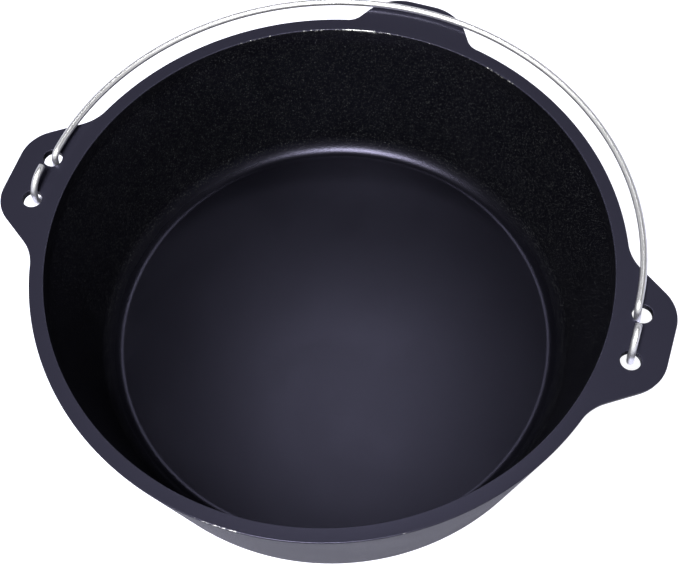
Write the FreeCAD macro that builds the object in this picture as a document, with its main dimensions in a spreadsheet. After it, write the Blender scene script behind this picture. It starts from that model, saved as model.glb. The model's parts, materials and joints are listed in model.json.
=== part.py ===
import FreeCAD, Part

import math
import os

import Sketcher

# Cast iron dutch oven: one open casting with two drilled ears and a rear tab, and one wire bail.
# Millimetres. +Z is up and the origin is the centre of the flat base, the face it stands on.
# +X runs through the right ear, +Y towards the rear tab, where the bail lies at rest.

DIMENSIONS = [
    # casting: bowl
    ("rim_inner_radius", 152.4, "inside radius at the rim, a 12 inch oven"),
    ("rim_width", 8.1, "width of the flat rim face"),
    ("inside_depth", 94.0, "rim face down to the cooking floor"),
    ("floor_thickness", 6.0, "thickness of the floor"),
    ("wall_thickness", 5.6, "wall thickness below the rim band, square to the wall"),
    ("wall_draft", 12.2, "taper of the wall and of the ear and tab edges, degrees from vertical"),
    ("floor_round", 12.0, "inside radius between the wall and the floor"),
    ("base_round", 4.5, "outside radius between the wall and the base"),
    ("band_round", 30.0, "radius where the rim band runs into the wall"),
    ("rim_edge_round", 0.7, "radius of the rim's inner edge"),
    # casting: ears
    ("ear_reach", 25.4, "ear outer edge beyond the rim"),
    ("ear_thickness", 4.5, "thickness of ears and tab"),
    ("ear_half_width", 23.2, "half width where the ear's sides would meet its outer edge"),
    ("ear_side_lean", 55.3, "turn from an ear's outer edge to its side, degrees"),
    ("ear_corner_radius", 22.0, "radius of an ear's outer corners"),
    ("ear_root_radius", 26.0, "hollow radius where an ear's side runs into the rim"),
    # casting: bail holes
    ("hole_diameter", 10.8, "bail holes"),
    ("hole_spacing", 28.0, "between the two holes of an ear"),
    ("hole_inset", 6.8, "hole centre line beyond the rim"),
    ("hole_edge_round", 0.6, "radius of the hole edges"),
    # casting: rear tab
    ("tab_reach", 18.6, "tab outer edge beyond the rim"),
    ("tab_half_width", 22.0, "half width where the tab's sides would meet its outer edge"),
    ("tab_side_lean", 60.0, "turn from the tab's outer edge to its side, degrees"),
    ("tab_corner_radius", 26.0, "radius of the tab's outer corners"),
    ("tab_root_radius", 10.0, "hollow radius where the tab runs into the rim"),
    # bail
    ("wire_diameter", 3.8, "round bail wire"),
    ("rest_gap", 0.25, "wire above the tab at rest"),
    ("bail_overhang", 10.8, "centre of the wire behind the rim at the tab"),
    ("bail_crown_gap", 5.5, "radius of the bail's middle stretch beyond the rim's own"),
    ("bail_crown_angle", 54.5, "half angle of the middle stretch, degrees"),
    ("bail_side_inset", 3.1, "side of the bail inboard of the hole centres"),
    ("bail_side_rise", 6.0, "centre of the wire above the rim beside the ears"),
    # the turn of wire round the bridge between the two holes of an ear
    ("turn_clearance", 0.45, "free space round the bridge's corners as the bail swings"),
    ("turn_front_slack", 0.4, "extra reach of the turn at its front leg"),
    ("turn_rear_slack", 1.2, "extra reach of the turn at its rear leg"),
    ("turn_bend_radius", 10.2, "bends of the turn"),
    ("turn_entry_radius", 4.4, "bend from the bail's side down into the rear hole"),
    ("turn_entry_straight", 1.2, "straight wire between that bend and the side arc"),
    ("turn_front_out", 0.2, "foot of the front leg outboard of the hole centres"),
    ("turn_rear_inset", 1.2, "foot of the rear leg inboard of the hole centres"),
    ("turn_top_inset", 0.6, "top of the front leg inboard of the hole centres"),
    ("turn_end_inset", 0.8, "cut end inboard of the hole centres"),
    ("turn_end_back", 2.6, "cut end behind the ear's centre line"),
]

# Sizes that follow from the driving dimensions, as expressions over the sheet.
RIM_OUTER = "(dims.rim_inner_radius + dims.rim_width)"
HEIGHT = "(dims.inside_depth + dims.floor_thickness)"
BASE_RADIUS = "(%s - %s * tan(dims.wall_draft))" % (RIM_OUTER, HEIGHT)
# The rim band ends where the taper has thinned the rim to the wall's own thickness.
RIM_BAND = "((dims.rim_width - dims.wall_thickness / cos(dims.wall_draft)) / tan(dims.wall_draft))"
FLOOR_RADIUS = "(dims.rim_inner_radius - (dims.inside_depth - %s) * tan(dims.wall_draft))" % RIM_BAND
EAR_TIP = "(%s + dims.ear_reach)" % RIM_OUTER
TAB_TIP = "(%s + dims.tab_reach)" % RIM_OUTER
HOLE_LINE = "(%s + dims.hole_inset)" % RIM_OUTER
HALF_SPACING = "(dims.hole_spacing / 2)"
ZERO = "0"
NEAR = 0.01

doc = FreeCAD.newDocument("dutch_oven")
sheet = doc.addObject("Spreadsheet::Sheet", "dims")
for row, (alias, value, note) in enumerate(DIMENSIONS, start=1):
    sheet.set("A%d" % row, str(value))
    sheet.setAlias("A%d" % row, alias)
    sheet.set("B%d" % row, note)
doc.recompute()


def value_of(expression):
    """Value of an expression over the driving dimensions, in millimetres or degrees."""
    return float(sheet.evalExpression(expression))


def size(alias):
    """Value of one driving dimension."""
    return value_of("dims." + alias)


# ---------------------------------------------------------------- sketch helpers


def origin_plane(body, role):
    """One of a body's own origin planes."""
    for feature in body.Origin.OriginFeatures:
        if feature.Role == role:
            return feature
    raise RuntimeError("no origin plane " + role)


def new_sketch(body, name, role, lift=None):
    """Sketch on one of the body's origin planes, lifted off it by an expression."""
    sketch = body.newObject("Sketcher::SketchObject", name)
    sketch.AttachmentSupport = [(origin_plane(body, role), "")]
    sketch.MapMode = "FlatFace"
    if lift:
        sketch.setExpression("AttachmentOffset.Base.z", lift)
    return sketch


def bind(sketch, kind, where, expression):
    """One driving constraint whose value is an expression over the sheet."""
    value = value_of(expression)
    if kind == "Angle":
        value = math.radians(value)
    index = sketch.addConstraint(Sketcher.Constraint(kind, *where, value))
    sketch.setExpression("Constraints[%d]" % index, expression)


def place(sketch, geometry, end, x, y):
    """Pin one end of a piece of geometry at two expressions, or on an axis."""
    if x == ZERO:
        sketch.addConstraint(Sketcher.Constraint("PointOnObject", geometry, end, -2))
    else:
        bind(sketch, "DistanceX", (geometry, end), x)
    if y == ZERO:
        sketch.addConstraint(Sketcher.Constraint("PointOnObject", geometry, end, -1))
    else:
        bind(sketch, "DistanceY", (geometry, end), y)


def vector(x, y):
    return FreeCAD.Vector(x, y, 0)


def polygon(sketch, corners):
    """Closed outline of straight lines through corners given as expressions."""
    points = [vector(value_of(x), value_of(y)) for x, y in corners]
    count = len(points)
    for i in range(count):
        sketch.addGeometry(Part.LineSegment(points[i], points[(i + 1) % count]), False)
    for i in range(count):
        sketch.addConstraint(Sketcher.Constraint("Coincident", i, 2, (i + 1) % count, 1))
    for i, (x, y) in enumerate(corners):
        place(sketch, i, 1, x, y)


def arc_between(center, start, end, turn):
    """Arc from start to end; turn is +1 for counter-clockwise."""
    radius = (start - center).Length
    angles = [math.atan2(p.y - center.y, p.x - center.x) for p in (start, end)]
    if turn < 0:
        angles.reverse()
    circle = Part.Circle(center, FreeCAD.Vector(0, 0, 1), radius)
    return Part.ArcOfCircle(circle, angles[0], angles[1])


def lug_half(sketch, tip, half_width, lean, corner_radius, root_radius):
    """Half outline of a lug on the rim, closed a little past the axis it is symmetric about.

    The lug points along the sketch's X axis: a straight outer edge, a rounded corner, a
    straight side, and a hollow root that runs tangent into the rim's outer circle. The strip
    past the axis overlaps the lug's other half, which is its mirror image.
    """
    rim = value_of(RIM_OUTER)
    edge_x = value_of(tip)
    turn = math.radians(value_of(lean))
    corner = value_of(corner_radius)
    root = value_of(root_radius)
    along = vector(-math.sin(turn), math.cos(turn))
    outward = vector(math.cos(turn), math.sin(turn))
    sharp = vector(edge_x, value_of(half_width))
    tangent_length = corner * math.tan(turn / 2)
    edge_end = sharp - vector(0, tangent_length)
    side_start = sharp + along * tangent_length
    corner_center = edge_end - vector(corner, 0)
    # The root's centre is one root radius off the side line and one outside the rim circle.
    offset = sharp + outward * root
    half_b = along.dot(offset)
    run = -half_b - math.sqrt(half_b ** 2 - offset.dot(offset) + (rim + root) ** 2)
    root_center = offset + along * run
    side_end = root_center - outward * root
    root_end = root_center * (rim / (rim + root))
    past_axis = size("ear_thickness")
    strip_start = vector(rim / 2, -past_axis)
    strip_end = vector(edge_x, -past_axis)

    strip, edge, corner_arc, side, root_arc, closing, rim_circle = range(7)
    sketch.addGeometry(Part.LineSegment(strip_start, strip_end), False)
    sketch.addGeometry(Part.LineSegment(strip_end, edge_end), False)
    sketch.addGeometry(arc_between(corner_center, edge_end, side_start, 1), False)
    sketch.addGeometry(Part.LineSegment(side_start, side_end), False)
    sketch.addGeometry(arc_between(root_center, side_end, root_end, -1), False)
    sketch.addGeometry(Part.LineSegment(root_end, strip_start), False)
    sketch.addGeometry(Part.Circle(vector(0, 0), FreeCAD.Vector(0, 0, 1), rim), True)
    # An arc's own ends run counter-clockwise, so the root arc is met end for end.
    for constraint in (
        ("Coincident", strip, 2, edge, 1),
        ("Tangent", edge, 2, corner_arc, 1),
        ("Tangent", corner_arc, 2, side, 1),
        ("Tangent", side, 2, root_arc, 2),
        ("Coincident", root_arc, 1, closing, 1),
        ("Coincident", closing, 2, strip, 1),
        ("Horizontal", strip),
        ("Vertical", edge),
        ("Coincident", rim_circle, 3, -1, 1),
        ("Tangent", root_arc, 1, rim_circle),
    ):
        sketch.addConstraint(Sketcher.Constraint(*constraint))
    bind(sketch, "Radius", (rim_circle,), RIM_OUTER)
    bind(sketch, "Radius", (corner_arc,), corner_radius)
    bind(sketch, "Radius", (root_arc,), root_radius)
    bind(sketch, "DistanceX", (strip, 2), tip)
    bind(sketch, "DistanceX", (strip, 1), RIM_OUTER + " / 2")
    bind(sketch, "DistanceY", (strip, 1), "-dims.ear_thickness")
    bind(sketch, "DistanceY", (edge, 2),
         "%s - %s * tan(%s / 2)" % (half_width, corner_radius, lean))
    bind(sketch, "Angle", (side,), "90 + " + lean)


# ---------------------------------------------------------------- feature helpers


def check(feature):
    """Recompute and stop if the feature failed."""
    doc.recompute()
    if "Invalid" in feature.State or "Error" in feature.State:
        raise RuntimeError(feature.Name + " failed")
    return feature


def check_volume(feature, before, sign):
    """Stop if a feature that must add (+1) or remove (-1) material did not."""
    change = feature.Shape.Volume - before
    if change * sign <= 0:
        raise RuntimeError(feature.Name + " changed no material")
    return feature.Shape.Volume


def revolve(body, kind, sketch):
    """Full turn of a profile about the casting's axis."""
    feature = body.newObject("PartDesign::" + kind, sketch.Name.replace("profile", kind.lower()))
    feature.Profile = sketch
    feature.ReferenceAxis = (sketch, ["V_Axis"])
    feature.Angle = 360
    return check(feature)


def pad_lug(body, sketch):
    """Pad half a lug down from the rim face, drawn in by the wall's taper."""
    pad = body.newObject("PartDesign::Pad", sketch.Name + "_pad")
    pad.Profile = sketch
    pad.Reversed = True
    pad.setExpression("Length", "dims.ear_thickness")
    pad.setExpression("TaperAngle", "-dims.wall_draft")
    return check(pad)


def mirror_step(body, name, role):
    """One mirror on an origin plane, alone or as a step of a MultiTransform."""
    mirrored = body.newObject("PartDesign::Mirrored", name)
    mirrored.MirrorPlane = (origin_plane(body, role), [""])
    return mirrored


def edge_names(shape, wanted):
    """Names of the edges that a test picks."""
    names = ["Edge%d" % i for i, edge in enumerate(shape.Edges, start=1) if wanted(edge)]
    if not names:
        raise RuntimeError("no edge to round")
    return names


def is_ring(edge, radius, height):
    """True for an edge that lies on a circle about the casting's axis."""
    if not isinstance(edge.Curve, Part.Circle):
        return False
    center = edge.Curve.Center
    return (abs(edge.Curve.Radius - radius) < NEAR and abs(center.z - height) < NEAR
            and math.hypot(center.x, center.y) < NEAR)


def round_edges(body, name, wanted, radius):
    """Fillet the picked edges of the body's tip with a bound radius."""
    base = body.Tip
    names = edge_names(base.Shape, wanted)
    fillet = body.newObject("PartDesign::Fillet", name)
    fillet.Base = (base, names)
    fillet.setExpression("Radius", radius)
    return check(fillet)


# ---------------------------------------------------------------- the casting

casting = doc.addObject("PartDesign::Body", "pot_casting")
casting.Label = "pot_casting"

outer = new_sketch(casting, "outer_profile", "XZ_Plane")
polygon(outer, [(ZERO, ZERO), (BASE_RADIUS, ZERO), (RIM_OUTER, HEIGHT), (ZERO, HEIGHT)])
outside = revolve(casting, "Revolution", outer)
volume = outside.Shape.Volume

# Two ears: a quarter of the pair, then its three mirror images.
ear = new_sketch(casting, "ear_outline", "XY_Plane", HEIGHT)
lug_half(ear, EAR_TIP, "dims.ear_half_width", "dims.ear_side_lean", "dims.ear_corner_radius",
         "dims.ear_root_radius")
ear_pad = pad_lug(casting, ear)
volume = check_volume(ear_pad, volume, +1)
ears = casting.newObject("PartDesign::MultiTransform", "ears")
ears.Originals = [ear_pad]
ears.Transformations = [mirror_step(casting, "ear_front_half", "XZ_Plane"),
                        mirror_step(casting, "left_ear", "YZ_Plane")]
casting.Tip = ears
check(ears)
volume = check_volume(ears, volume, +1)

# Rear tab: the sketch is turned a quarter so that the tab points along +Y.
tab = new_sketch(casting, "tab_outline", "XY_Plane", HEIGHT)
tab.AttachmentOffset = FreeCAD.Placement(FreeCAD.Vector(0, 0, value_of(HEIGHT)),
                                         FreeCAD.Rotation(FreeCAD.Vector(0, 0, 1), 90))
lug_half(tab, TAB_TIP, "dims.tab_half_width", "dims.tab_side_lean", "dims.tab_corner_radius",
         "dims.tab_root_radius")
tab_pad = pad_lug(casting, tab)
volume = check_volume(tab_pad, volume, +1)
tab_whole = mirror_step(casting, "tab_right_half", "YZ_Plane")
tab_whole.Originals = [tab_pad]
casting.Tip = tab_whole
check(tab_whole)
volume = check_volume(tab_whole, volume, +1)

# The bowl: straight down inside the rim band, then tapering to the floor.
above_rim = HEIGHT + " + dims.rim_width"
cavity = new_sketch(casting, "cavity_profile", "XZ_Plane")
polygon(cavity, [(ZERO, "dims.floor_thickness"), (FLOOR_RADIUS, "dims.floor_thickness"),
                 ("dims.rim_inner_radius", "%s - %s" % (HEIGHT, RIM_BAND)),
                 ("dims.rim_inner_radius", above_rim), (ZERO, above_rim)])
hollow = revolve(casting, "Groove", cavity)
volume = check_volume(hollow, volume, -1)

# Two bail holes in each ear.
holes = new_sketch(casting, "bail_holes", "XY_Plane", HEIGHT)
for side in (1, -1):
    for end in (1, -1):
        x = HOLE_LINE if side > 0 else "-" + HOLE_LINE
        y = HALF_SPACING if end > 0 else "-" + HALF_SPACING
        circle = Part.Circle(vector(value_of(x), value_of(y)), FreeCAD.Vector(0, 0, 1),
                             size("hole_diameter") / 2)
        index = holes.addGeometry(circle, False)
        place(holes, index, 3, x, y)
        bind(holes, "Radius", (index,), "dims.hole_diameter / 2")
drilled = casting.newObject("PartDesign::Pocket", "bail_hole_cut")
drilled.Profile = holes
drilled.setExpression("Length", "dims.ear_thickness * 2")
check(drilled)
volume = check_volume(drilled, volume, -1)

height = value_of(HEIGHT)
floor_z = size("floor_thickness")
band_z = height - value_of(RIM_BAND)
hole_radius = size("hole_diameter") / 2


def is_hole_edge(edge):
    """True for the mouth of a bail hole, above or below."""
    return isinstance(edge.Curve, Part.Circle) and abs(edge.Curve.Radius - hole_radius) < NEAR


round_edges(casting, "base_corner", lambda e: is_ring(e, value_of(BASE_RADIUS), 0),
            "dims.base_round")
round_edges(casting, "floor_corner", lambda e: is_ring(e, value_of(FLOOR_RADIUS), floor_z),
            "dims.floor_round")
round_edges(casting, "band_corner", lambda e: is_ring(e, size("rim_inner_radius"), band_z),
            "dims.band_round")
round_edges(casting, "rim_corner", lambda e: is_ring(e, size("rim_inner_radius"), height),
            "dims.rim_edge_round")
round_edges(casting, "hole_mouths", is_hole_edge, "dims.hole_edge_round")

# ---------------------------------------------------------------- the bail

# Each end of the wire goes down the rear hole, under the bridge between the two holes, up
# the front hole and back over the bridge. The hinge axis runs through the bridge's middle,
# and the turn keeps outside the circle that the bridge's corners need as the bail swings.
wire_radius = size("wire_diameter") / 2
hinge_z = height - size("ear_thickness") / 2
bridge_half = (size("hole_spacing") - size("hole_diameter")) / 2
bridge_corner = math.hypot(bridge_half, size("ear_thickness") / 2)
turn_reach = bridge_corner + wire_radius + size("turn_clearance")
front_leg = -(turn_reach + size("turn_front_slack"))
rear_leg = turn_reach + size("turn_rear_slack")
hole_line = value_of(HOLE_LINE)

# The bail proper lies in one plane, sloping from beside the ears down onto the tab.
side_y = rear_leg + size("turn_entry_radius") + size("turn_entry_straight")
apex_y = value_of(RIM_OUTER) + size("bail_overhang")
side_z = height + size("bail_side_rise")
apex_z = height + wire_radius + size("rest_gap")
plane_length = math.hypot(apex_y - side_y, apex_z - side_z)


def bail_point(x, along):
    """Point of the bail's plane, a given way along it from beside the ears to the tab."""
    share = along / plane_length
    return FreeCAD.Vector(x, side_y + (apex_y - side_y) * share,
                          side_z + (apex_z - side_z) * share)


# Middle stretch and side arc, tangent where they join; both end square to their radii.
crown_angle = math.radians(size("bail_crown_angle"))
crown_radius = value_of(RIM_OUTER) + size("bail_crown_gap")
crown_center = plane_length - crown_radius
join_x = crown_radius * math.sin(crown_angle)
join_along = crown_center + crown_radius * math.cos(crown_angle)
side_x = hole_line - size("bail_side_inset")
side_radius = (side_x - join_x) / (1 - math.sin(crown_angle))
side_center_x = side_x - side_radius
side_center = join_along - side_radius * math.cos(crown_angle)
start_angle = math.asin(-side_center / side_radius)


def on_crown(angle):
    """Point of the middle stretch, its angle counted from the apex."""
    return bail_point(crown_radius * math.sin(angle), crown_center + crown_radius * math.cos(angle))


def on_side(angle):
    """Point of the side arc, its angle counted from straight outboard."""
    return bail_point(side_center_x + side_radius * math.cos(angle),
                      side_center + side_radius * math.sin(angle))


def bend_line(points, radii):
    """Edges through points, with a bend of the given radius at each inner point."""
    edges = []
    start = points[0]
    for before, corner, after, radius in zip(points, points[1:], points[2:], radii):
        toward = (before - corner).normalize()
        away = (after - corner).normalize()
        half = toward.getAngle(away) / 2
        run = radius / math.tan(half)
        bisector = (toward + away).normalize()
        middle = corner + bisector * (radius / math.sin(half) - radius)
        edges.append(Part.LineSegment(start, corner + toward * run).toShape())
        edges.append(Part.Arc(corner + toward * run, middle, corner + away * run).toShape())
        start = corner + away * run
    edges.append(Part.LineSegment(start, points[-1]).toShape())
    return edges


side_start = on_side(start_angle)
outboard = math.sin(start_angle)
side_way = (bail_point(-outboard, math.cos(start_angle)) - bail_point(0, 0)).normalize()
turn_entry = side_start - side_way * (size("turn_entry_radius") + size("turn_entry_straight"))
over = hinge_z + turn_reach
under = hinge_z - turn_reach
turn_points = [
    FreeCAD.Vector(hole_line - size("turn_end_inset"), size("turn_end_back"), over),
    FreeCAD.Vector(hole_line - size("turn_top_inset"), front_leg, over),
    FreeCAD.Vector(hole_line + size("turn_front_out"), front_leg, under),
    FreeCAD.Vector(hole_line - size("turn_rear_inset"), rear_leg, under),
    turn_entry,
    side_start,
]
bend = size("turn_bend_radius")
half_bail = bend_line(turn_points, [bend, bend, bend, size("turn_entry_radius")])
half_bail.append(Part.Arc(side_start, on_side((start_angle + math.pi / 2 - crown_angle) / 2),
                          on_side(math.pi / 2 - crown_angle)).toShape())
half_bail.append(Part.Arc(on_crown(crown_angle), on_crown(crown_angle / 2),
                          on_crown(0)).toShape())
other_half = [edge.mirror(FreeCAD.Vector(0, 0, 0), FreeCAD.Vector(1, 0, 0)) for edge in half_bail]
path = doc.addObject("Part::Feature", "bail_path")
path.Shape = Part.Wire(Part.__sortEdges__(half_bail + other_half))

section = doc.addObject("Part::Circle", "wire_section")
section.setExpression("Radius", "dims.wire_diameter / 2")
section.Placement = FreeCAD.Placement(
    turn_points[0], FreeCAD.Rotation(FreeCAD.Vector(0, 0, 1), turn_points[1] - turn_points[0]))
bail = doc.addObject("Part::Sweep", "bail_wire")
bail.Label = "bail_wire"
bail.Sections = [section]
bail.Spine = (path, ["Edge%d" % i for i in range(1, len(path.Shape.Edges) + 1)])
bail.Solid = True
bail.Frenet = False
check(bail)

# ---------------------------------------------------------------- checks and STEP files

doc.recompute()
for item in doc.Objects:
    if "Invalid" in item.State or "Error" in item.State:
        raise RuntimeError(item.Name + " failed")
os.makedirs("parts", exist_ok=True)
for piece in (casting, bail):
    if piece.Shape.isNull() or not piece.Shape.isValid():
        raise RuntimeError(piece.Label + " is not a sound solid")
    piece.Shape.exportStep("parts/%s.step" % piece.Label)
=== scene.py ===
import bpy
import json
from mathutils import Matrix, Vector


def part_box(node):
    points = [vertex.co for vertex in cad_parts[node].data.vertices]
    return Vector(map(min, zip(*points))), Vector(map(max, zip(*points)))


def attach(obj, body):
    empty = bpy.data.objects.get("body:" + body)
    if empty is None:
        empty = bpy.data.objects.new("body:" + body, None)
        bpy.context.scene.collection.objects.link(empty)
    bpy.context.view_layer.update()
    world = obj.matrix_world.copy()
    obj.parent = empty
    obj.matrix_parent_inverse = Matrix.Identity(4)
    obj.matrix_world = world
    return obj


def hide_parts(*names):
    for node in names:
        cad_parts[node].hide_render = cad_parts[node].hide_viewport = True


bl_info = {
    "name": "Cast iron dutch oven",
    "version": (1, 0, 0),
    "blender": (4, 5, 0),
    "location": "View3D > Sidebar > Oven",
    "description": "Iron casting, wire bail and studio round the packed frame",
    "category": "Object",
}

import json
import math

import bmesh
import bpy
from bpy.props import FloatProperty, FloatVectorProperty, IntProperty, PointerProperty
from mathutils import Matrix, Vector

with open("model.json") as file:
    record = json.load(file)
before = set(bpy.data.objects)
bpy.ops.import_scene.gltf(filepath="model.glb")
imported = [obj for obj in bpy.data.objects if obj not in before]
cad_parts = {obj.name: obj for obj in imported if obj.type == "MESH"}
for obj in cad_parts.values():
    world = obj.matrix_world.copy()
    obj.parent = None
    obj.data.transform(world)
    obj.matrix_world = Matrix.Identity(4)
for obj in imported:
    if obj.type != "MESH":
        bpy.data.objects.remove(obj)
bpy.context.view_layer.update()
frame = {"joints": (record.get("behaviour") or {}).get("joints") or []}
CASTING_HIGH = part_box("pot_casting")[1]
MM = 0.001

# Each light's name, place, size, power and colour, in metres and watts; all face the rim's middle.
LIGHTS = (
    ("key", (-0.03, -0.80, 1.82), 0.55, 94.0, (1.0, 1.0, 0.92)),
    ("rear_top", (-0.37, 1.00, 2.44), 0.40, 5.4, (1.0, 1.0, 1.0)),
)

# Steps of the casting's rounds, from the rim's small edges to the wide one round the floor.
ROUND_STEPS = 4
BAND_STEPS = 5
BASE_STEPS = 6
FLOOR_STEPS = 14
HOLE_FACETS = 48

# Steps of the wire's bends: those of its turn, the side arc and half of the middle stretch.
TURN_STEPS = 14
SIDE_STEPS = 30
CROWN_STEPS = 56

# Distances under which points are merged, and the least lug, all finer than can be seen.
MERGE = 0.002 * MM
SEAM_MERGE = 0.01 * MM
LEAST_LUG = 0.02 * MM
# Most of a lug's reach that the rounds of its underside may each take near its roots.
LUG_SHARE = 0.4
# A lug's reach that gives the spun profile all its rows, before they are drawn out.
ANY_REACH = 10 * MM
# Share of the wire's radius that the round of its cut end takes, across and along.
CAP_INSET = 0.25
CAP_DOME = 0.15

# The frame's own sizes that everything else is placed by.
HEIGHT = CASTING_HIGH.z
EAR_TIP = CASTING_HIGH.x
TAB_TIP = CASTING_HIGH.y
HINGE = Vector(frame["joints"][0]["pos_m"])


# ---------------------------------------------------------------- sizes and colours


def length(name, millimetres, description):
    """Length property, kept in metres."""
    return FloatProperty(name=name, description=description, default=millimetres * MM,
                         unit="LENGTH", precision=5)


def angle(name, degrees, description):
    return FloatProperty(name=name, description=description, default=math.radians(degrees),
                         unit="ROTATION")


def number(name, value, description):
    return FloatProperty(name=name, description=description, default=value, precision=3)


def colour(name, value, description):
    return FloatVectorProperty(name=name, description=description, default=value, size=4,
                               subtype="COLOR", min=0.0, max=1.0)


class OvenCastingSettings(bpy.types.PropertyGroup):
    """Sizes and finish of the iron casting."""
    rim_radius: length("Rim radius", 160.5, "Outside radius of the rim")
    mouth_radius: length("Mouth radius", 152.4, "Inside radius at the rim")
    wall: length("Wall", 5.6, "Wall thickness square to the wall")
    floor: length("Floor", 6.0, "Thickness of the cooking floor")
    taper: angle("Taper", 12.2, "Taper of the walls from upright")
    floor_round: length("Floor round", 12.0, "Inside radius between wall and floor")
    base_round: length("Base round", 4.5, "Outside radius between wall and base")
    band_round: length("Band round", 30.0, "Radius where the rim band runs into the wall")
    edge_round: length("Edge round", 0.7, "Radius of the rim's edges")
    plate: length("Ear thickness", 4.5, "Thickness of ears and tab")
    under_round: length("Under round", 1.9, "Radius of the lower edge of ears and tab")
    root_fillet: length("Root fillet", 2.4, "Radius under the ears where they meet the wall")
    ear_half_width: length("Ear half width", 23.2, "Where an ear's sides would meet its outer edge")
    ear_lean: angle("Ear lean", 55.3, "Turn from an ear's outer edge to its side")
    ear_corner: length("Ear corner", 22.0, "Radius of an ear's outer corners")
    ear_hollow: length("Ear hollow", 26.0, "Hollow radius where an ear runs into the rim")
    tab_half_width: length("Tab half width", 22.0, "Where the tab's sides would meet its outer edge")
    tab_lean: angle("Tab lean", 60.0, "Turn from the tab's outer edge to its side")
    tab_corner: length("Tab corner", 26.0, "Radius of the tab's outer corners")
    tab_hollow: length("Tab hollow", 10.0, "Hollow radius where the tab runs into the rim")
    hole_radius: length("Hole radius", 5.4, "Radius of the bail holes")
    hole_mouth: length("Hole mouth", 0.6, "Radius of the hole edges")
    hole_inset: length("Hole inset", 6.8, "Hole centres beyond the rim")
    hole_spacing: length("Hole spacing", 28.0, "Between the two holes of an ear")
    facets: IntProperty(name="Facets", description="Steps round the casting", default=720)
    grain: length("Grain", 0.5, "Size of the sand cast grain")
    grain_depth: length("Grain depth", 0.16, "Depth of the grain on steep faces")
    floor_grain: number("Floor grain", 0.14, "Part of that depth left on level faces")
    rim_ground: number("Rim ground", 0.04, "Part of that depth ground off the rim's face")
    gloss: number("Gloss", 0.235, "Roughness of the oiled skin")
    dry: number("Dry", 0.255, "Roughness of its drier patches")
    steep_rough: number("Steep roughness", 0.20, "Added roughness of steep faces")
    grit_gloss: number("Grit gloss", 0.05, "Roughness taken off the tips of the grain")
    shine: number("Shine", 0.24, "Specular level of the oiled skin")
    # How much of the marked edges takes the bare colour: real wear and painted edge highlight.
    wear_and_highlight: number("Wear", -0.10, "More of the marked edges is bare as this rises")
    iron: colour("Iron", (0.0009, 0.0009, 0.0016, 1.0), "Seasoned iron")
    bloom: colour("Bloom", (0.0014, 0.0014, 0.0024, 1.0), "Drier patches of the seasoning")
    oil: colour("Oil", (0.66, 0.64, 1.0, 1.0), "Tint of the oiled skin's shine")
    # Lighter top face: partly its ground finish, partly painted light standing in for the reflection
    # that the unshaded rim top catches.
    ground_face_and_sheen: colour("Ground face", (0.0122, 0.0119, 0.0205, 1.0), "Ground face of rim, ears and tab")
    # Light specks on steep faces only: sand grain, and painted glints of the light on the walls.
    grit_and_glint: colour("Grit", (0.050, 0.052, 0.058, 1.0), "Tips of the sand cast grain")
    # Bare metal colour of the marked edges, partly real wear and partly painted highlight where the
    # edges catch the light.
    bare_and_highlight: colour("Bare metal", (0.40, 0.40, 0.42, 1.0), "Iron rubbed bare along the edges")


class OvenBailSettings(bpy.types.PropertyGroup):
    """Sizes and finish of the wire bail."""
    wire_radius: length("Wire radius", 1.9, "Radius of the wire")
    rest_gap: length("Rest gap", 0.25, "Wire above the tab at rest")
    overhang: length("Overhang", 10.8, "Centre of the wire behind the rim at the tab")
    crown_gap: length("Crown gap", 5.5, "Radius of the middle stretch beyond the rim's own")
    crown_angle: angle("Crown angle", 54.5, "Half angle of the middle stretch")
    side_inset: length("Side inset", 3.1, "Side of the bail inboard of the hole centres")
    side_rise: length("Side rise", 6.0, "Centre of the wire above the rim beside the ears")
    clearance: length("Turn clearance", 0.45, "Free space round the bridge's corners")
    front_slack: length("Front slack", 0.4, "Extra reach of the turn at its front leg")
    rear_slack: length("Rear slack", 1.2, "Extra reach of the turn at its rear leg")
    turn_bend: length("Turn bend", 10.2, "Bends of the turn")
    entry_bend: length("Entry bend", 4.4, "Bend from the side down into the rear hole")
    entry_straight: length("Entry straight", 1.2, "Straight between that bend and the side arc")
    front_out: length("Front out", 0.2, "Foot of the front leg outboard of the hole centres")
    rear_inset: length("Rear inset", 1.2, "Foot of the rear leg inboard of the hole centres")
    top_inset: length("Top inset", 0.6, "Top of the front leg inboard of the hole centres")
    end_inset: length("End inset", 0.8, "Cut end inboard of the hole centres")
    end_back: length("End back", 2.6, "Cut end behind the ear's centre line")
    sides: IntProperty(name="Sides", description="Steps round the wire", default=24)
    steel: colour("Steel", (0.92, 0.92, 0.97, 1.0), "Bright drawn steel")
    dull: colour("Dull steel", (0.78, 0.78, 0.83, 1.0), "Duller patches along the wire")
    bright_rough: number("Bright roughness", 0.38, "Roughness of the bright patches")
    dull_rough: number("Dull roughness", 0.44, "Roughness of the duller patches")


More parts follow.
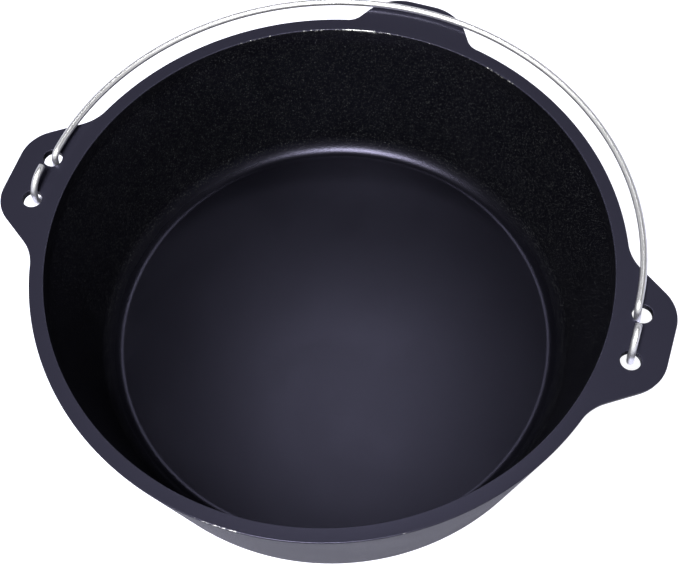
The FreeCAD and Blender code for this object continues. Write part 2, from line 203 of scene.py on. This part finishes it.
class OvenStudioSettings(bpy.types.PropertyGroup):
    """Camera, floor and lights."""
    lens: FloatProperty(name="Lens", description="Focal length", default=74.23, unit="CAMERA")
    distance: length("Distance", 748.67, "Camera to the middle of the rim")
    azimuth: angle("Azimuth", -67.52, "Camera direction round the oven, from the right ear")
    elevation: angle("Elevation", 59.778, "Camera direction above the rim")
    aim_x: length("Aim X", 11.5, "Point of the rim's plane that the camera looks at")
    aim_y: length("Aim Y", -14.93, "Point of the rim's plane that the camera looks at")
    roll: angle("Roll", -4.035, "Turn of the camera about its own axis")
    floor_size: length("Floor size", 6000.0, "Width of the floor")
    floor_gap: length("Floor gap", 0.1, "Floor under the base")
    lift: number("Lift", 0.1, "Light that the floor adds to the oven")
    glow: number("Glow", 0.9, "Light that the floor adds for the camera")
    paper: colour("Paper", (0.34, 0.34, 0.45, 1.0), "Pale floor")
    backdrop: colour("Backdrop", (1.0, 1.0, 1.0, 1.0), "Room as the camera sees it")
    walls: colour("Room walls", (0.80, 0.80, 0.81, 1.0), "Light of the room round the horizon")
    ceiling: colour("Room ceiling", (0.05, 0.05, 0.055, 1.0), "Light of the room overhead")


# ---------------------------------------------------------------- shared helpers


def settings(name):
    return getattr(bpy.context.scene, name)


def finish_mesh(bm, name):
    """Write a bmesh to a new smooth shaded object at the origin."""
    mesh = bpy.data.meshes.new(name)
    bm.to_mesh(mesh)
    bm.free()
    mesh.polygons.foreach_set("use_smooth", [True] * len(mesh.polygons))
    piece = bpy.data.objects.new(name, mesh)
    bpy.context.collection.objects.link(piece)
    return piece


def round_corner(before, corner, after, radius, steps):
    """Points of the arc that rounds a corner, both of its ends included."""
    toward = (before - corner).normalized()
    away = (after - corner).normalized()
    half = toward.angle(away) / 2
    run = radius / math.tan(half)
    centre = corner + (toward + away).normalized() * (radius / math.sin(half))
    first = corner + toward * run - centre
    sweep = math.pi - 2 * half
    turn = sweep if first.cross(corner + away * run - centre) > 0 else -sweep
    return [centre + Matrix.Rotation(turn * i / steps, 2) @ first for i in range(steps + 1)]


# ---------------------------------------------------------------- the casting


class LugOutline:
    """Outline of an ear or the tab, asked for by angle from its own axis."""

    def __init__(self, rim, tip, half_width, lean, corner_radius, root_radius):
        self.rim = rim
        self.tip = tip
        self.corner_radius = corner_radius
        self.root_radius = root_radius
        along = Vector((-math.sin(lean), math.cos(lean)))
        self.outward = Vector((math.cos(lean), math.sin(lean)))
        sharp = Vector((tip, half_width))
        tangent = corner_radius * math.tan(lean / 2)
        edge_end = sharp - Vector((0, tangent))
        side_start = sharp + along * tangent
        self.corner = edge_end - Vector((corner_radius, 0))
        offset = sharp + self.outward * root_radius
        half_b = along.dot(offset)
        run = -half_b - math.sqrt(half_b ** 2 - offset.dot(offset) + (rim + root_radius) ** 2)
        self.root = offset + along * run
        side_end = self.root - self.outward * root_radius
        self.side_distance = self.outward.dot(sharp)
        self.turns = [math.atan2(p.y, p.x) for p in (edge_end, side_start, side_end, self.root)]

    def reach(self, turn):
        """How far the lug stands out of the rim along a ray, and nothing beyond its roots."""
        turn = abs(turn)
        ray = Vector((math.cos(turn), math.sin(turn)))
        edge_end, side_start, side_end, root_end = self.turns
        if turn >= root_end:
            return 0.0
        if turn < edge_end:
            return self.tip / ray.x - self.rim
        if turn < side_start:
            return self.far_side(self.corner, self.corner_radius, ray, 1) - self.rim
        if turn < side_end:
            return self.side_distance / self.outward.dot(ray) - self.rim
        return max(0.0, self.far_side(self.root, self.root_radius, ray, -1) - self.rim)

    @staticmethod
    def far_side(centre, radius, ray, side):
        """Distance along a ray to a circle: its far side for +1, its near side for -1."""
        off = centre.cross(ray)
        return centre.dot(ray) + side * math.sqrt(max(0.0, radius ** 2 - off ** 2))


def rim_edge_rows(s, reach):
    """Rows of the casting's outside from the top edge down to the wall, for a lug's reach.

    Without a lug the underside has no width, and its rows fall together on the wall.
    """
    slope = math.tan(s.taper)
    outer = s.rim_radius + reach
    lip = min(s.under_round, reach * LUG_SHARE)
    fillet = min(s.root_fillet, reach * LUG_SHARE)
    below = HEIGHT - s.plate
    top = Vector((outer - 4 * s.edge_round, HEIGHT))
    edge = Vector((outer, HEIGHT))
    under = Vector((outer - s.plate * slope, below))
    root = Vector((s.rim_radius - s.plate * slope, below))
    foot = root - Vector((slope, 1)) * 2 * s.plate
    rows = round_corner(top, edge, under, s.edge_round, ROUND_STEPS)
    if reach > 0:
        rows += round_corner(edge, under, root, lip, ROUND_STEPS)
        rows += round_corner(under, root, foot, fillet, ROUND_STEPS)
    else:
        rows += [root] * 2 * (ROUND_STEPS + 1)
    rows.append(foot)
    return rows


def casting_shell(s):
    """The whole casting but its holes: a spun profile whose rim rows are drawn out to the lugs."""
    slope = math.tan(s.taper)
    # The rim band ends where the taper has thinned the rim to the wall's own thickness.
    band = (s.rim_radius - s.mouth_radius - s.wall / math.cos(s.taper)) / slope
    base = Vector((s.rim_radius - HEIGHT * slope, 0))
    band_end = Vector((s.mouth_radius, HEIGHT - band))
    floor_corner = Vector((s.mouth_radius - (HEIGHT - band - s.floor) * slope, s.floor))
    mouth = Vector((s.mouth_radius, HEIGHT))
    rim_rows = rim_edge_rows(s, ANY_REACH)
    rim_rows.reverse()
    outside = round_corner(Vector((0, 0)), base, rim_rows[0], s.base_round, BASE_STEPS)
    inside = round_corner(rim_rows[-1], mouth, band_end, s.edge_round, ROUND_STEPS)
    inside += round_corner(mouth, band_end, floor_corner, s.band_round, BAND_STEPS)
    inside += round_corner(band_end, floor_corner, Vector((0, s.floor)), s.floor_round,
                           FLOOR_STEPS)

    bm = bmesh.new()
    row_of = bm.verts.layers.int.new("rim_row")
    profile = [Vector((0, 0))] + outside + rim_rows + inside + [Vector((0, s.floor))]
    verts = [bm.verts.new((p.x, 0, p.y)) for p in profile]
    first_rim = 1 + len(outside)
    for row in range(len(rim_rows)):
        verts[first_rim + row][row_of] = len(rim_rows) - row
    edges = [bm.edges.new(pair) for pair in zip(verts, verts[1:])]
    bmesh.ops.spin(bm, geom=verts + edges, cent=(0, 0, 0), axis=(0, 0, 1),
                   angle=math.tau, steps=s.facets, use_merge=True)
    draw_out_lugs(bm, s, row_of)
    bmesh.ops.remove_doubles(bm, verts=bm.verts, dist=MERGE)
    bmesh.ops.recalc_face_normals(bm, faces=bm.faces)
    return bm


def draw_out_lugs(bm, s, row_of):
    """Move the rim's rows out to the ears and the tab."""
    ear = LugOutline(s.rim_radius, EAR_TIP, s.ear_half_width, s.ear_lean, s.ear_corner,
                     s.ear_hollow)
    tab = LugOutline(s.rim_radius, TAB_TIP, s.tab_half_width, s.tab_lean, s.tab_corner,
                     s.tab_hollow)
    lugs = ((ear, 0.0), (tab, math.pi / 2), (ear, math.pi))
    for vert in bm.verts:
        if not vert[row_of]:
            continue
        turn = math.atan2(vert.co.y, vert.co.x)
        reach = 0.0
        for outline, direction in lugs:
            off = (turn - direction + math.pi) % math.tau - math.pi
            reach = max(reach, outline.reach(off))
        place = rim_edge_rows(s, reach if reach > LEAST_LUG else 0.0)[vert[row_of] - 1]
        vert.co = (place.x * math.cos(turn), place.x * math.sin(turn), place.y)


def hole_cutters(s):
    """Four waisted plugs that cut the bail holes and round their mouths."""
    half = s.plate / 2
    clear = half + 2 * MM
    flare = s.hole_radius + s.hole_mouth
    wall_top = Vector((s.hole_radius, half))
    mouth = round_corner(Vector((s.hole_radius, 0)), wall_top, Vector((flare * 2, half)),
                         s.hole_mouth, ROUND_STEPS)
    # The mouth's last chord runs on through the face, so that the cut is not tangent to it.
    mouth[-1] += mouth[-1] - mouth[-2]
    upper = mouth + [Vector((flare * 1.2, clear)), Vector((0, clear))]
    lower = [Vector((p.x, -p.y)) for p in reversed(upper)]
    bm = bmesh.new()
    verts = [bm.verts.new((p.x, 0, p.y)) for p in lower + upper]
    edges = [bm.edges.new(pair) for pair in zip(verts, verts[1:])]
    bmesh.ops.spin(bm, geom=verts + edges, cent=(0, 0, 0), axis=(0, 0, 1),
                   angle=math.tau, steps=HOLE_FACETS, use_merge=True)
    bmesh.ops.remove_doubles(bm, verts=bm.verts, dist=MERGE)
    bmesh.ops.recalc_face_normals(bm, faces=bm.faces)
    bmesh.ops.translate(bm, verts=bm.verts,
                        vec=(s.rim_radius + s.hole_inset, s.hole_spacing / 2, HEIGHT - half))
    for axis in ("X", "Y"):
        geometry = bm.verts[:] + bm.edges[:] + bm.faces[:]
        bmesh.ops.mirror(bm, geom=geometry, axis=axis, merge_dist=0.0)
    bmesh.ops.recalc_face_normals(bm, faces=bm.faces)
    return finish_mesh(bm, "hole_cutters")


def mark_wear_and_highlight(mesh, s):
    """Mark the rounded rim edges for wear and painted highlight: the mouth most at the rear, the
    outline in front, where the edges catch the light.
    """
    worn_and_highlit = mesh.attributes.new("worn_and_highlit", "FLOAT", "POINT")
    hole_line = s.rim_radius + s.hole_inset
    hole_reach = s.hole_radius + 2 * s.hole_mouth
    lowest = HEIGHT - s.edge_round * 1.01
    highest = HEIGHT - s.edge_round * 0.02
    for vert in mesh.vertices:
        x, y, z = vert.co
        if not lowest < z < highest:
            continue
        if math.hypot(abs(x) - hole_line, abs(y) - s.hole_spacing / 2) < hole_reach:
            continue
        radius = math.hypot(x, y)
        towards_rear = y / radius
        side = towards_rear if radius < s.mouth_radius + s.edge_round * 2 else -towards_rear
        worn_and_highlit.data[vert.index].value = 0.5 + 0.5 * side


def apply_modifiers(piece):
    """Bake a piece's modifiers into its mesh."""
    graph = bpy.context.evaluated_depsgraph_get()
    baked = bpy.data.meshes.new_from_object(piece.evaluated_get(graph))
    piece.modifiers.clear()
    old = piece.data
    piece.data = baked
    bpy.data.meshes.remove(old)


class OVEN_OT_casting(bpy.types.Operator):
    """Make the iron casting: bowl, rim, drilled ears and rear tab"""
    bl_idname = "oven.casting"
    bl_label = "Iron casting"

    def execute(self, context):
        s = settings("oven_casting")
        casting = finish_mesh(casting_shell(s), "iron_casting")
        cutters = hole_cutters(s)
        cut = casting.modifiers.new("bail_holes", "BOOLEAN")
        cut.operation = "DIFFERENCE"
        cut.solver = "EXACT"
        cut.object = cutters
        apply_modifiers(casting)
        bpy.data.objects.remove(cutters)
        mark_wear_and_highlight(casting.data, s)
        casting.data.polygons.foreach_set("use_smooth", [True] * len(casting.data.polygons))
        flat = casting.modifiers.new("flat_faces", "WEIGHTED_NORMAL")
        flat.weight = 60
        casting.data.materials.clear()
        casting.data.materials.append(seasoned_iron(s))
        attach(casting, "pot")
        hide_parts("pot_casting")
        return {"FINISHED"}


# ---------------------------------------------------------------- the bail


class WireMaker:
    """A round wire drawn ring by ring: straight runs and bends."""

    def __init__(self, start, heading, radius, sides):
        self.bm = bmesh.new()
        self.heading = heading.normalized()
        self.point = start.copy()
        turn = self.heading.to_track_quat("Z", "Y").to_matrix().to_4x4()
        made = bmesh.ops.create_circle(self.bm, cap_ends=False, segments=sides, radius=radius,
                                       matrix=Matrix.Translation(start) @ turn)
        self.ring = made["verts"]
        edges = list({e for v in self.ring for e in v.link_edges})
        cap = bmesh.ops.edgeloop_fill(self.bm, edges=edges)["faces"]
        bmesh.ops.inset_region(self.bm, faces=cap, thickness=radius * CAP_INSET,
                               depth=radius * CAP_DOME)

    def step(self, move):
        """Extrude the open ring and move it by a matrix."""
        edges = [e for e in {e for v in self.ring for e in v.link_edges}
                 if all(v in self.ring for v in e.verts)]
        made = bmesh.ops.extrude_edge_only(self.bm, edges=edges)["geom"]
        self.ring = [g for g in made if isinstance(g, bmesh.types.BMVert)]
        bmesh.ops.transform(self.bm, matrix=move, verts=self.ring)
        self.point = move @ self.point

    def straight(self, distance):
        self.step(Matrix.Translation(self.heading * distance))

    def bend(self, centre, axis, sweep, steps):
        """Turn the wire about an axis through a centre."""
        turn = Matrix.Rotation(sweep / steps, 4, axis)
        about = Matrix.Translation(centre) @ turn @ Matrix.Translation(-centre)
        for _ in range(steps):
            self.step(about)
        self.heading = Matrix.Rotation(sweep, 3, axis) @ self.heading

    def follow(self, points, radii, steps):
        """Straight runs through points, with a bend at each inner one."""
        for corner, after, radius in zip(points[1:], points[2:], radii):
            away = (after - corner).normalized()
            sweep = self.heading.angle(away)
            run = radius * math.tan(sweep / 2)
            self.straight((corner - self.point).length - run)
            axis = self.heading.cross(away).normalized()
            centre = self.point + axis.cross(self.heading) * radius
            self.bend(centre, axis, sweep, steps)
        self.straight((points[-1] - self.point).length)


def wire_bail(s, casting):
    """Half of the bail from its cut end to the crown, then its mirror image."""
    bridge = (casting.hole_spacing - 2 * casting.hole_radius) / 2
    reach = math.hypot(bridge, casting.plate / 2) + s.wire_radius + s.clearance
    front = -(reach + s.front_slack)
    rear = reach + s.rear_slack
    hole_line = casting.rim_radius + casting.hole_inset
    side_y = rear + s.entry_bend + s.entry_straight
    apex = Vector((0, casting.rim_radius + s.overhang, HEIGHT + s.wire_radius + s.rest_gap))
    beside = Vector((0, side_y, HEIGHT + s.side_rise))
    back = (apex - beside).normalized()
    plane_length = (apex - beside).length
    right = Vector((1, 0, 0))

    # The middle stretch and the side arc are tangent where they join.
    crown_radius = casting.rim_radius + s.crown_gap
    crown_centre = plane_length - crown_radius
    join = Vector((crown_radius * math.sin(s.crown_angle),
                   crown_centre + crown_radius * math.cos(s.crown_angle)))
    side_x = hole_line - s.side_inset
    side_radius = (side_x - join.x) / (1 - math.sin(s.crown_angle))
    side_centre = Vector((side_x - side_radius,
                          join.y - side_radius * math.cos(s.crown_angle)))
    start_turn = math.asin(-side_centre.y / side_radius)

    def in_plane(x, along):
        return beside + right * x + back * along

    side_start = in_plane(side_centre.x + side_radius * math.cos(start_turn), 0)
    side_way = back * math.cos(start_turn) - right * math.sin(start_turn)
    over = HINGE.z + reach
    under = HINGE.z - reach
    points = [
        Vector((hole_line - s.end_inset, s.end_back, over)),
        Vector((hole_line - s.top_inset, front, over)),
        Vector((hole_line + s.front_out, front, under)),
        Vector((hole_line - s.rear_inset, rear, under)),
        side_start - side_way * (s.entry_bend + s.entry_straight),
        side_start,
    ]
    wire = WireMaker(points[0], points[1] - points[0], s.wire_radius, s.sides)
    wire.follow(points, [s.turn_bend, s.turn_bend, s.turn_bend, s.entry_bend], TURN_STEPS)
    inward = right.cross(back)
    wire.bend(in_plane(side_centre.x, side_centre.y), inward,
              math.pi / 2 - s.crown_angle - start_turn, SIDE_STEPS)
    wire.bend(in_plane(0, crown_centre), inward, s.crown_angle, CROWN_STEPS)
    bm = wire.bm
    for vert in wire.ring:
        vert.co.x = 0.0
    bmesh.ops.mirror(bm, geom=bm.verts[:] + bm.edges[:] + bm.faces[:], axis="X",
                     merge_dist=SEAM_MERGE)
    bmesh.ops.remove_doubles(bm, verts=bm.verts, dist=MERGE)
    bmesh.ops.recalc_face_normals(bm, faces=bm.faces)
    return bm


class OVEN_OT_bail(bpy.types.Operator):
    """Make the wire bail with its two turns round the ears"""
    bl_idname = "oven.bail"
    bl_label = "Wire bail"

    def execute(self, context):
        s = settings("oven_bail")
        bail = finish_mesh(wire_bail(s, settings("oven_casting")), "steel_bail")
        bail.data.materials.append(drawn_steel(s))
        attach(bail, "bail")
        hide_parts("bail_wire")
        return {"FINISHED"}


# ---------------------------------------------------------------- finishes


def new_group(name, inputs, outputs):
    """Empty node group with named float inputs and outputs."""
    group = bpy.data.node_groups.new(name, "ShaderNodeTree")
    for label, value in inputs:
        socket = group.interface.new_socket(label, in_out="INPUT", socket_type="NodeSocketFloat")
        socket.default_value = value
    for label in outputs:
        group.interface.new_socket(label, in_out="OUTPUT", socket_type="NodeSocketFloat")
    start = group.nodes.new("NodeGroupInput")
    end = group.nodes.new("NodeGroupOutput")
    return group, start, end


def noise(tree, scale, detail, roughness):
    """Noise over object coordinates, in features per metre."""
    place = tree.nodes.new("ShaderNodeTexCoord")
    node = tree.nodes.new("ShaderNodeTexNoise")
    node.inputs["Scale"].default_value = scale
    node.inputs["Detail"].default_value = detail
    node.inputs["Roughness"].default_value = roughness
    tree.links.new(place.outputs["Object"], node.inputs["Vector"])
    return node


def map_range(tree, source, low, high, to_low, to_high):
    """Rescale a value, smoothly and clamped."""
    node = tree.nodes.new("ShaderNodeMapRange")
    node.interpolation_type = "SMOOTHSTEP"
    values = {"From Min": low, "From Max": high, "To Min": to_low, "To Max": to_high}
    for socket, value in values.items():
        node.inputs[socket].default_value = value
    tree.links.new(source, node.inputs["Value"])
    return node.outputs["Result"]


def combine(tree, operation, first, second):
    """Math on two sources, each a socket or a number."""
    node = tree.nodes.new("ShaderNodeMath")
    node.operation = operation
    for socket, source in zip(node.inputs, (first, second)):
        if isinstance(source, (int, float)):
            socket.default_value = source
        else:
            tree.links.new(source, socket)
    return node.outputs["Value"]


def mix_colour(tree, factor, first, second):
    """Mix two colours, each a socket or a value."""
    node = tree.nodes.new("ShaderNodeMix")
    node.data_type = "RGBA"
    tree.links.new(factor, node.inputs["Factor"])
    for socket, source in ((node.inputs["A"], first), (node.inputs["B"], second)):
        if isinstance(source, bpy.types.NodeSocket):
            tree.links.new(source, socket)
        else:
            socket.default_value = source
    return node.outputs["Result"]


def sand_cast_skin(grain):
    """Grain left by the sand mould: height, fine speckle, slow patches, and how steep a face is."""
    group, _, end = new_group("sand_cast_skin", [], ["Height", "Speckle", "Patches", "Steep"])
    place = group.nodes.new("ShaderNodeTexCoord")
    axes = group.nodes.new("ShaderNodeSeparateXYZ")
    group.links.new(place.outputs["Normal"], axes.inputs["Vector"])
    upward = combine(group, "ABSOLUTE", axes.outputs["Z"], 0.0)
    group.links.new(map_range(group, upward, 0.45, 1.0, 1, 0), end.inputs["Steep"])
    # Three layers sized by the grain, and slow patches a few centimetres across.
    coarse = noise(group, 0.5 / grain, 3.0, 0.6)
    middle = noise(group, 0.8 / grain, 1.0, 0.5)
    fine = noise(group, 2.2 / grain, 2.0, 0.6)
    slow = noise(group, 16.0, 5.0, 0.6)
    height = combine(group, "ADD", coarse.outputs["Fac"],
                     combine(group, "MULTIPLY", fine.outputs["Fac"], 0.3))
    group.links.new(height, end.inputs["Height"])
    group.links.new(map_range(group, middle.outputs["Fac"], 0.60, 0.76, 0, 1),
                    end.inputs["Speckle"])
    group.links.new(map_range(group, slow.outputs["Fac"], 0.38, 0.62, 0, 1),
                    end.inputs["Patches"])
    return group


def edge_wear_and_highlight():
    """Broken line of wear and painted highlight along the edges that the mesh marks."""
    group, start, end = new_group("edge_wear_and_highlight", [("Amount", 0.5)], ["Mask"])
    marked = group.nodes.new("ShaderNodeAttribute")
    marked.attribute_name = "worn_and_highlit"
    # Dashes a few millimetres long, thicker in some stretches than in others.
    dashes = noise(group, 420.0, 3.0, 0.7)
    stretch = noise(group, 22.0, 1.0, 0.5)
    chips = combine(group, "MULTIPLY", marked.outputs["Fac"],
                    combine(group, "ADD", dashes.outputs["Fac"], stretch.outputs["Fac"]))
    chips = combine(group, "ADD", chips, start.outputs["Amount"])
    group.links.new(map_range(group, chips, 1.0, 1.12, 0, 1), end.inputs["Mask"])
    return group


def use_group(tree, group, **values):
    node = tree.nodes.new("ShaderNodeGroup")
    node.node_tree = group
    for name, value in values.items():
        node.inputs[name].default_value = value
    return node


def new_material(name):
    """Material with a Principled shader; returns it, its tree and the shader."""
    material = bpy.data.materials.new(name)
    material.use_nodes = True
    tree = material.node_tree
    return material, tree, tree.nodes["Principled BSDF"]


def bump(tree, shader, height, strength, distance):
    node = tree.nodes.new("ShaderNodeBump")
    node.inputs["Strength"].default_value = strength
    node.inputs["Distance"].default_value = distance
    tree.links.new(height, node.inputs["Height"])
    tree.links.new(node.outputs["Normal"], shader.inputs["Normal"])


def seasoned_iron(s):
    """Oil seasoned sand cast iron, rubbed bare here and there along the rim's edges, where the bare
    colour is also a painted highlight.
    """
    material, tree, shader = new_material("seasoned_iron")
    skin = use_group(tree, sand_cast_skin(s.grain))
    # Mask of the rim's edges: real wear and painted highlight where they face the light.
    wear_and_highlight = use_group(tree, edge_wear_and_highlight(), Amount=s.wear_and_highlight)
    base = mix_colour(tree, skin.outputs["Patches"], s.iron, s.bloom)
    # Light specks on steep faces: sand grain and painted glints.
    grit_and_glint = combine(tree, "MULTIPLY", skin.outputs["Speckle"], skin.outputs["Steep"])
    base = mix_colour(tree, grit_and_glint, base, s.grit_and_glint)
    place = tree.nodes.new("ShaderNodeTexCoord")
    axes = tree.nodes.new("ShaderNodeSeparateXYZ")
    tree.links.new(place.outputs["Object"], axes.inputs["Vector"])
    # Rim, ear and tab tops take the lighter colour: ground finish and painted sheen.
    on_rim = map_range(tree, axes.outputs["Z"], HEIGHT - s.edge_round, HEIGHT, 0, 1)
    base = mix_colour(tree, on_rim, base, s.ground_face_and_sheen)
    tree.links.new(mix_colour(tree, wear_and_highlight.outputs["Mask"], base, s.bare_and_highlight),
                   shader.inputs["Base Color"])
    shader.inputs["Specular Tint"].default_value = s.oil
    shader.inputs["Specular IOR Level"].default_value = s.shine
    rough = map_range(tree, skin.outputs["Patches"], 0.0, 1.0, s.gloss, s.dry)
    rough = combine(tree, "ADD", rough,
                    combine(tree, "MULTIPLY", skin.outputs["Steep"], s.steep_rough))
    rough = combine(tree, "SUBTRACT", rough,
                    combine(tree, "MULTIPLY", skin.outputs["Speckle"], s.grit_gloss))
    tree.links.new(rough, shader.inputs["Roughness"])
    tree.links.new(wear_and_highlight.outputs["Mask"], shader.inputs["Metallic"])
    depth = combine(tree, "SUBTRACT", s.floor_grain,
                    combine(tree, "MULTIPLY", on_rim, s.rim_ground))
    depth = combine(tree, "ADD", depth, combine(tree, "POWER", skin.outputs["Steep"], 0.5))
    relief = combine(tree, "MULTIPLY", skin.outputs["Height"], depth)
    bump(tree, shader, relief, 1.0, s.grain_depth)
    return material


def drawn_steel(s):
    """Bright drawn steel wire with faint duller patches."""
    material, tree, shader = new_material("drawn_steel")
    patches = noise(tree, 260.0, 3.0, 0.6)
    duller = map_range(tree, patches.outputs["Fac"], 0.45, 0.7, 0, 1)
    tree.links.new(mix_colour(tree, duller, s.steel, s.dull), shader.inputs["Base Color"])
    tree.links.new(map_range(tree, patches.outputs["Fac"], 0.3, 0.7, s.bright_rough, s.dull_rough),
                   shader.inputs["Roughness"])
    shader.inputs["Metallic"].default_value = 1.0
    return material


def pale_paper(s):
    """Plain pale floor that hardly darkens under the oven, and is clear from underneath."""
    material, tree, shader = new_material("pale_paper")
    shader.inputs["Base Color"].default_value = s.paper
    shader.inputs["Roughness"].default_value = 0.9
    shader.inputs["Specular IOR Level"].default_value = 0.0
    shader.inputs["Emission Color"].default_value = (1.0, 1.0, 1.0, 1.0)
    rays = tree.nodes.new("ShaderNodeLightPath")
    glow = map_range(tree, rays.outputs["Is Camera Ray"], 0.0, 1.0, s.lift, s.glow)
    tree.links.new(glow, shader.inputs["Emission Strength"])
    sides = tree.nodes.new("ShaderNodeNewGeometry")
    tree.links.new(combine(tree, "SUBTRACT", 1.0, sides.outputs["Backfacing"]),
                   shader.inputs["Alpha"])
    return material


# ---------------------------------------------------------------- the studio


def soft_box(name, place, target, size, power, tone):
    """Square area light turned to a point."""
    lamp = bpy.data.lights.new(name, "AREA")
    lamp.shape = "SQUARE"
    lamp.size = size
    lamp.energy = power
    lamp.color = tone
    light = bpy.data.objects.new(name, lamp)
    light.location = place
    light.rotation_euler = (Vector(target) - Vector(place)).to_track_quat("-Z", "Y").to_euler()
    bpy.context.collection.objects.link(light)


def studio_room(s):
    """World with bright walls and a dim ceiling, pale where the camera sees it."""
    world = bpy.data.worlds.new("studio_room")
    world.use_nodes = True
    tree = world.node_tree
    place = tree.nodes.new("ShaderNodeTexCoord")
    axes = tree.nodes.new("ShaderNodeSeparateXYZ")
    tree.links.new(place.outputs["Generated"], axes.inputs["Vector"])
    # The ceiling starts low over the horizon and is whole at thirty degrees.
    overhead = map_range(tree, axes.outputs["Z"], 0.2, 0.5, 0, 1)
    rays = tree.nodes.new("ShaderNodeLightPath")
    seen = mix_colour(tree, overhead, s.walls, s.ceiling)
    tree.links.new(mix_colour(tree, rays.outputs["Is Camera Ray"], seen, s.backdrop),
                   tree.nodes["Background"].inputs["Color"])
    return world


def studio_camera(s):
    """Camera looking down at the oven over its front."""
    level = Vector((math.cos(s.azimuth), math.sin(s.azimuth), 0)) * math.cos(s.elevation)
    rim = Vector((0, 0, HEIGHT))
    place = rim + (level + Vector((0, 0, math.sin(s.elevation)))) * s.distance
    target = rim + Vector((s.aim_x, s.aim_y, 0))
    data = bpy.data.cameras.new("studio_camera")
    data.sensor_width = 36.0
    data.lens = s.lens
    data.clip_start = 0.01
    camera = bpy.data.objects.new("studio_camera", data)
    turn = (target - place).to_track_quat("-Z", "Y").to_matrix().to_4x4()
    camera.matrix_world = Matrix.Translation(place) @ turn @ Matrix.Rotation(s.roll, 4, "Z")
    bpy.context.collection.objects.link(camera)
    bpy.context.scene.camera = camera


class OVEN_OT_studio(bpy.types.Operator):
    """Make the floor, the lights and the camera"""
    bl_idname = "oven.studio"
    bl_label = "Studio"

    def execute(self, context):
        s = settings("oven_studio")
        bm = bmesh.new()
        bmesh.ops.create_grid(bm, x_segments=1, y_segments=1, size=s.floor_size / 2,
                              matrix=Matrix.Translation((0, 0, -s.floor_gap)))
        floor = finish_mesh(bm, "studio_floor")
        floor.data.materials.append(pale_paper(s))
        context.scene.world = studio_room(s)
        for name, place, size, power, tone in LIGHTS:
            soft_box(name, place, (0, 0, HEIGHT), size, power, tone)
        studio_camera(s)
        context.scene.view_settings.view_transform = "Standard"
        return {"FINISHED"}


# ---------------------------------------------------------------- panel and main


class OVEN_PT_panel(bpy.types.Panel):
    """Steps that make the oven"""
    bl_idname = "OVEN_PT_panel"
    bl_label = "Dutch oven"
    bl_space_type = "VIEW_3D"
    bl_region_type = "UI"
    bl_category = "Oven"

    def draw(self, context):
        for step in STEPS:
            self.layout.operator(step.bl_idname)


GROUPS = {
    "oven_casting": OvenCastingSettings,
    "oven_bail": OvenBailSettings,
    "oven_studio": OvenStudioSettings,
}
STEPS = (OVEN_OT_casting, OVEN_OT_bail, OVEN_OT_studio)


def register():
    for cls in (*GROUPS.values(), *STEPS, OVEN_PT_panel):
        bpy.utils.register_class(cls)
    for name, cls in GROUPS.items():
        setattr(bpy.types.Scene, name, PointerProperty(type=cls))


def unregister():
    for name in GROUPS:
        delattr(bpy.types.Scene, name)
    for cls in (OVEN_PT_panel, *reversed(STEPS), *reversed(GROUPS.values())):
        bpy.utils.unregister_class(cls)


def main():
    register()
    bpy.ops.oven.casting()
    bpy.ops.oven.bail()
    bpy.ops.oven.studio()


if __name__ == "__main__":
    main()
